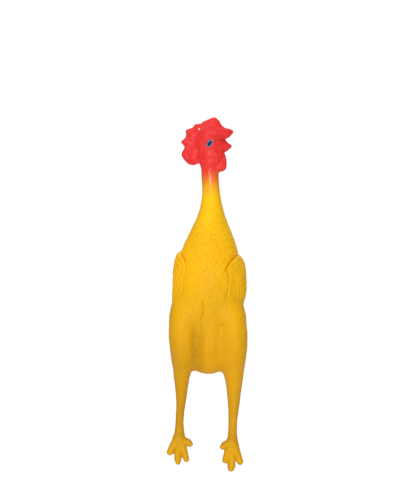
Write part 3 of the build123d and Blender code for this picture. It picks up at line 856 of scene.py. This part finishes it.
body_mesh = to_bmesh(*fine_surface((-29, -29, -294), (44, 26, HEAD_CUT + 3), BODY_CELL * coarse))
for part, top, bottom in zip(("twist", "side", "fore"), NECK_CUTS, NECK_CUTS[1:]):
    skin_piece(f"skin_neck_{part}", body_mesh, [(2, top, -1), (2, bottom, 1)])
trunk = [(2, NECK_CUTS[-1], -1), (2, HIPS, 1)]
skin_piece("skin_back_upper", body_mesh, trunk + [(1, BELLY_Y, 1), (2, WAIST, 1)])
skin_piece("skin_back_lower", body_mesh, trunk + [(1, BELLY_Y, 1), (2, WAIST, -1)])
skin_piece("skin_belly", body_mesh, trunk + [(1, BELLY_Y, -1)])
for side, cuts, sign in (("right", RIGHT_CUTS, -1), ("left", LEFT_CUTS, 1)):
    limb = cut(body_mesh, [(0, BETWEEN_LEGS, sign), (2, HIPS, -1)])
    for part, top, bottom in zip(("swing", "splay", "ankle"), cuts, cuts[1:]):
        skin_piece(f"skin_{part}_{side}", limb, [(2, top, -1), (2, bottom, 1)])
    skin_piece(f"skin_foot_{side}", limb, [(2, cuts[-1], -1)])
    limb.free()
body_mesh.free()

# --------------------------------------------------------------------------------------------------
# Turned and painted pieces
# --------------------------------------------------------------------------------------------------


def new_object(name, bm, material):
    mesh = bpy.data.meshes.new(name)
    bmesh.ops.recalc_face_normals(bm, faces=bm.faces[:])
    bm.to_mesh(mesh)
    bm.free()
    mesh.materials.append(material)
    obj = bpy.data.objects.new(name, mesh)
    bpy.context.scene.collection.objects.link(obj)
    mesh.shade_smooth()
    return obj


def turned(name, profile, material, segments=96):
    """A ring turned about the squeaker's axis; profile is its closed section, (radius, y) in mm."""
    bm = bmesh.new()
    rings = []
    for r, y in profile:
        ring = []
        for i in range(segments):
            a = 2 * math.pi * i / segments
            x, z = BODY_X + r * math.cos(a), SQUEAKER_Z + r * math.sin(a)
            ring.append(bm.verts.new((x * MM, y * MM, z * MM)))
        rings.append(ring)
    for lower, upper in zip(rings, rings[1:] + rings[:1]):
        for i in range(segments):
            j = (i + 1) % segments
            bm.faces.new((lower[i], lower[j], upper[j], upper[i]))
    return new_object(name, bm, material)


def mark_rest(mesh):
    """The attributes that the latex reads, on a piece that isn't cut from the skin."""
    co = np.empty(len(mesh.vertices) * 3, np.float32)
    mesh.vertices.foreach_get("co", co)
    mesh.attributes.new("rest", "FLOAT_VECTOR", "POINT").data.foreach_set("vector", co)
    # the lip gets a middling painted fold shade and no other painted light or shade
    for mark, value in (("hollow", 0.45), ("tone", 1.0)):
        values = np.full(len(mesh.vertices), value, np.float32)
        mesh.attributes.new(mark, "FLOAT", "POINT").data.foreach_set("value", values)


def arc(cx, cy, r, start, end, n=6):
    """Points of a rounded edge in a turned profile, in degrees from the radius towards +Y."""
    return [(cx + r * math.cos(math.radians(start + (end - start) * i / n)),
             cy + r * math.sin(math.radians(start + (end - start) * i / n))) for i in range(n + 1)]


# The rolled latex lip round the socket, and the flanged plastic squeaker pressed into it.
lip = turned("squeaker_lip", arc(11.5, 21.9, 1.0, 180, 0, 14) + [(12.5, 20.6), (10.5, 20.6)], LATEX)
mark_rest(lip.data)
# The sound hole's edge, two raised beads, the rim, then the barrel and the reed tube inside it.
flange_profile = (
    [(1.5, 21.3), (1.5, 21.9)] + arc(1.9, 21.95, 0.4, 180, 90, 5) + [(3.1, 22.35)]
    + arc(3.4, 22.35, 0.35, 180, 360, 8)[1:-1] + [(3.7, 22.35), (7.4, 22.42)]
    + [(7.7, 22.30), (8.0, 22.42)] + arc(9.9, 22.02, 0.42, 90, 0, 6) + [(10.32, 21.4), (8.0, 21.4)]
    + [(8.0, 12.4), (6.8, 12.4), (6.8, 21.3), (5.2, 21.3), (5.2, 13.4), (4.02, 13.4), (4.02, 21.3)]
)
flange = turned("squeaker_flange", flange_profile, PLASTIC, segments=128)


def painted_eye(name, side, radii, lift, height, material, wobble, seed):
    """A lens of paint laid on the skin, with a slightly uneven edge; side is -1 on the breast side."""
    phase = np.random.default_rng(seed).uniform(0, 6.28, 4)
    rings, segments = 14, 64
    c, s = math.cos(math.radians(EYE_LEAN)), math.sin(math.radians(EYE_LEAN))
    flat = [(0.0, 0.0, 0.0)]
    for i in range(1, rings + 1):
        t = i / rings
        for j in range(segments):
            a = 2 * math.pi * j / segments
            uneven = math.sin(2 * a + phase[0]) + 0.6 * math.sin(3 * a + phase[1])
            edge = 1 + wobble * (uneven + 0.4 * math.sin(5 * a + phase[2]))
            u, w = radii[0] * t * math.cos(a) * edge, radii[1] * t * math.sin(a) * edge
            flat.append((u * c + w * s, w * c - u * s, t))
    flat = np.array(flat)
    x, z, t = EYE_X + flat[:, 0], EYE_Z + flat[:, 1], flat[:, 2]
    # where the skin is under each point
    low, high = np.full(len(x), 3.0), np.full(len(x), 14.0)
    for _ in range(26):
        mid = (low + high) / 2
        inside = skin(np.stack([x, side * mid, z], 1)) < 0
        low, high = np.where(inside, mid, low), np.where(inside, high, mid)
    y = low + lift + height * np.sqrt(np.clip(1 - t**2, 0, 1)) - 0.25 * (t > 0.999)
    bm = bmesh.new()
    verts = [bm.verts.new((xi * MM, side * yi * MM, zi * MM)) for xi, yi, zi in zip(x, y, z)]
    rim = range(1 + (rings - 1) * segments, len(x))
    back = [bm.verts.new((x[k] * MM, side * (y[k] - 0.6) * MM, z[k] * MM)) for k in rim]

    def ring(i, j):
        return verts[1 + (i - 1) * segments + j % segments]

    for j in range(segments):
        bm.faces.new((verts[0], ring(1, j), ring(1, j + 1)))
        for i in range(1, rings):
            bm.faces.new((ring(i, j), ring(i + 1, j), ring(i + 1, j + 1), ring(i, j + 1)))
        bm.faces.new((ring(rings, j), back[j], back[(j + 1) % segments], ring(rings, j + 1)))
    bm.faces.new(back)
    return new_object(name, bm, material)


EYE_RADII, PUPIL_RADII = (2.2, 3.9), (1.42, 2.75)
eyes = []
for name, side in (("left", 1), ("right", -1)):
    eyes.append(painted_eye(f"eye_paint_{name}", side, EYE_RADII, 0.02, 0.55, EYE_BLUE, 0.02, 3))
    eyes.append(painted_eye(f"pupil_paint_{name}", side, PUPIL_RADII, 0.42, 0.30, EYE_NAVY, 0.035, 5))

# the squeaker's inside pieces stay as they come, in their own materials
for node in ("reed_block_upper", "reed_block_lower", "squeaker_reed"):
    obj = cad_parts[node]
    for slot in obj.material_slots:
        slot.material = REED if node == "squeaker_reed" else PLASTIC

# --------------------------------------------------------------------------------------------------
# What moves with what
# --------------------------------------------------------------------------------------------------
NECK_SKINS = (
    ("skin_neck_twist", "head", "neck_top", None),
    ("skin_neck_side", "neck_top", "neck_base", "neck_upper"),
    ("skin_neck_fore", "neck_base", "torso", "neck_lower"),
)
head_skin = skins["skin_head"]
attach(head_skin, "head")
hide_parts("head_shell", "comb", "beak_upper", "beak_lower", "wattle_left", "wattle_right")
for (name, a, b, node), top, bottom in zip(NECK_SKINS, NECK_CUTS, NECK_CUTS[1:]):
    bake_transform(skins[name])
    if node:
        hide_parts(node)
upper, lower, belly = skins["skin_back_upper"], skins["skin_back_lower"], skins["skin_belly"]
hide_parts("torso_shell", "wing_left", "wing_right")
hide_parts("thigh_left", "thigh_right", "tail")
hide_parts("belly_wall")
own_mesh(belly)
for skin_part in (upper, lower, belly):
    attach(skin_part, "torso")
for side, cuts, x in (("right", RIGHT_CUTS, -15.7), ("left", LEFT_CUTS, 29.2)):
    bodies = ("torso", f"{side}_shank", f"{side}_ankle", f"{side}_foot")
    nodes = (None, f"shank_upper_{side}", f"shank_lower_{side}")
    parts = ("swing", "splay", "ankle")
    for part, a, b, node, top, bottom in zip(parts, bodies, bodies[1:], nodes, cuts, cuts[1:]):
        piece = skins[f"skin_{part}_{side}"]
        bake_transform(piece)
        if node:
            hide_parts(node)
    foot = skins[f"skin_foot_{side}"]
    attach(foot, f"{side}_foot")
    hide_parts(f"foot_{side}")
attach(lip, "torso")
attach(flange, "torso")
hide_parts("squeaker_cup")
for obj in eyes:
    kind, _, side = obj.name.split("_")
    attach(obj, "head")
    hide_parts(f"{kind}_{side}")

# --------------------------------------------------------------------------------------------------
# Floor, light and camera
# --------------------------------------------------------------------------------------------------
white = Nodes("paper_white")
paper = white.noise(white.add("ShaderNodeTexCoord", "Object"), 6.0, 2.0)
shade = white.mix(paper, (0.93, 0.93, 0.93, 1), (0.95, 0.95, 0.95, 1))
PAPER = white.finish(shade, 0.9, Specular_IOR_Level=0.1)

FLOOR_Z, FLOOR_R = -0.37, 0.75
bm = bmesh.new()
bmesh.ops.create_circle(bm, cap_ends=True, cap_tris=False, radius=FLOOR_R, segments=96)
bmesh.ops.translate(bm, verts=bm.verts, vec=(0, 0, FLOOR_Z))
new_object("floor", bm, PAPER)

scene = bpy.context.scene
world = bpy.data.worlds.new("studio")
scene.world = world
world.use_nodes = True
wt = world.node_tree
# dim white light on everything, with pure white behind the toy
ambient = wt.nodes["Background"]
ambient.inputs["Strength"].default_value = 0.34
backdrop = wt.nodes.new("ShaderNodeBackground")
backdrop.inputs["Color"].default_value = ambient.inputs["Color"].default_value = (1, 1, 1, 1)
backdrop.inputs["Strength"].default_value = 1.0
either = wt.nodes.new("ShaderNodeMixShader")
wt.links.new(wt.nodes.new("ShaderNodeLightPath").outputs["Is Camera Ray"], either.inputs[0])
wt.links.new(ambient.outputs[0], either.inputs[1])
wt.links.new(backdrop.outputs[0], either.inputs[2])
wt.links.new(either.outputs[0], wt.nodes["World Output"].inputs["Surface"])


def area_light(name, place, target, size, watts):
    light = bpy.data.lights.new(name, "AREA")
    light.shape = "RECTANGLE"
    light.size, light.size_y = size
    light.energy = watts
    obj = bpy.data.objects.new(name, light)
    obj.location = place
    obj.rotation_euler = (Vector(target) - Vector(place)).to_track_quat("-Z", "Y").to_euler()
    scene.collection.objects.link(obj)


MIDDLE = (0.008, 0.0, -0.14)
area_light("key", (-0.58, -1.00, 0.80), (0, 0, -0.10), (0.55, 0.55), 5.0)
area_light("fill", (0.90, -1.00, 0.10), MIDDLE, (0.6, 0.9), 0.8)
area_light("strip", (-0.04, -1.5, -0.05), MIDDLE, (0.70, 0.24), 9.4)
area_light("top", (0.0, 0.1, 1.25), MIDDLE, (1.0, 1.0), 5.0)
area_light("behind", (0.4, 1.4, 0.9), MIDDLE, (1.2, 0.9), 9.0)

scene.view_settings.view_transform = "Standard"
scene.view_settings.look = "None"

# The height that the picture covers, its middle, and the camera's distance, in metres.
FRAME_HEIGHT, FRAME_X, FRAME_Z, DISTANCE = 0.409, 0.00085, -0.0946, 2.6
camera = bpy.data.cameras.new("camera")
camera.sensor_width = 36.0
camera.lens = 36.0 * DISTANCE / FRAME_HEIGHT
camera_obj = bpy.data.objects.new("camera", camera)
camera_obj.location = (FRAME_X, -DISTANCE, FRAME_Z)
camera_obj.rotation_euler = (math.pi / 2, 0, 0)
scene.collection.objects.link(camera_obj)
scene.camera = camera_obj
